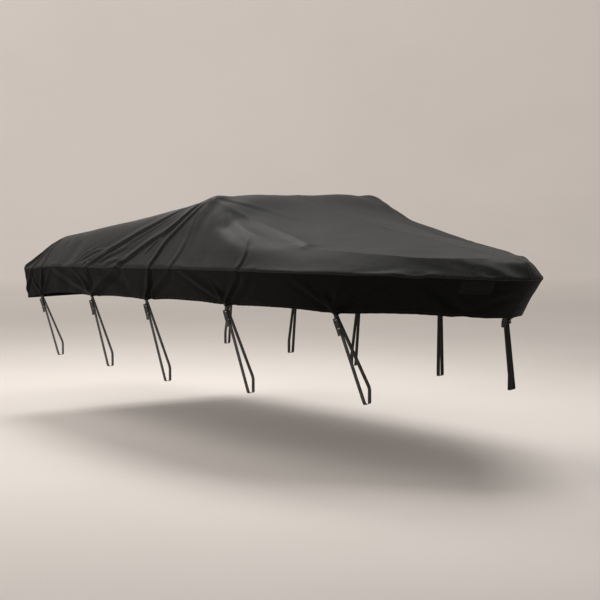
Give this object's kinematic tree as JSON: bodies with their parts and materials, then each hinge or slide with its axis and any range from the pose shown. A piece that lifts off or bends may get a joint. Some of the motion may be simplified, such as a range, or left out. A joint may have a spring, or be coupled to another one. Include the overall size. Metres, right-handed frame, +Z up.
{
  "type": "boat cover",
  "caption": "Hollow fitted boat cover with a crest over the windshield, hanging skirt, hem, and webbing tie-down straps with ladder buckles.",
  "frame": {"origin": "the mount under the cover's crest, on its middle plane, where the windshield of the covered boat holds it up", "axes": "+X to the bow, +Y to port, +Z up"},
  "size_m": [5.0444, 2.1191, 1.3373],
  "materials": {
    "cover_cloth": "matt woven polyester, coated inside",
    "patch_cloth": "flat sewn patch, blank",
    "webbing": "woven webbing",
    "buckle_plastic": "moulded, satin"
  },
  "bodies": {
    "root": {"top_starboard": "cover_cloth", "top_port": "cover_cloth", "skirt_starboard": "cover_cloth", "skirt_port": "cover_cloth", "patch_blank": "patch_cloth", "bow_loop": "webbing", "tab_starboard_aft": "webbing", "buckle_starboard_aft": "buckle_plastic", "strap_starboard_aft": "webbing", "tab_starboard_quarter": "webbing", "buckle_starboard_quarter": "buckle_plastic", "strap_starboard_quarter": "webbing", "tab_starboard_mid": "webbing", "buckle_starboard_mid": "buckle_plastic", "strap_starboard_mid": "webbing", "tab_starboard_cowl": "webbing", "buckle_starboard_cowl": "buckle_plastic", "strap_starboard_cowl": "webbing", "tab_starboard_bow": "webbing", "buckle_starboard_bow": "buckle_plastic", "strap_starboard_bow": "webbing", "tab_port_aft": "webbing", "buckle_port_aft": "buckle_plastic", "strap_port_aft": "webbing", "tab_port_quarter": "webbing", "buckle_port_quarter": "buckle_plastic", "strap_port_quarter": "webbing", "tab_port_mid": "webbing", "buckle_port_mid": "buckle_plastic", "strap_port_mid": "webbing", "tab_port_cowl": "webbing", "buckle_port_cowl": "buckle_plastic", "strap_port_cowl": "webbing", "tab_port_bow": "webbing", "buckle_port_bow": "buckle_plastic", "strap_port_bow": "webbing"}
  },
  "joints": []
}
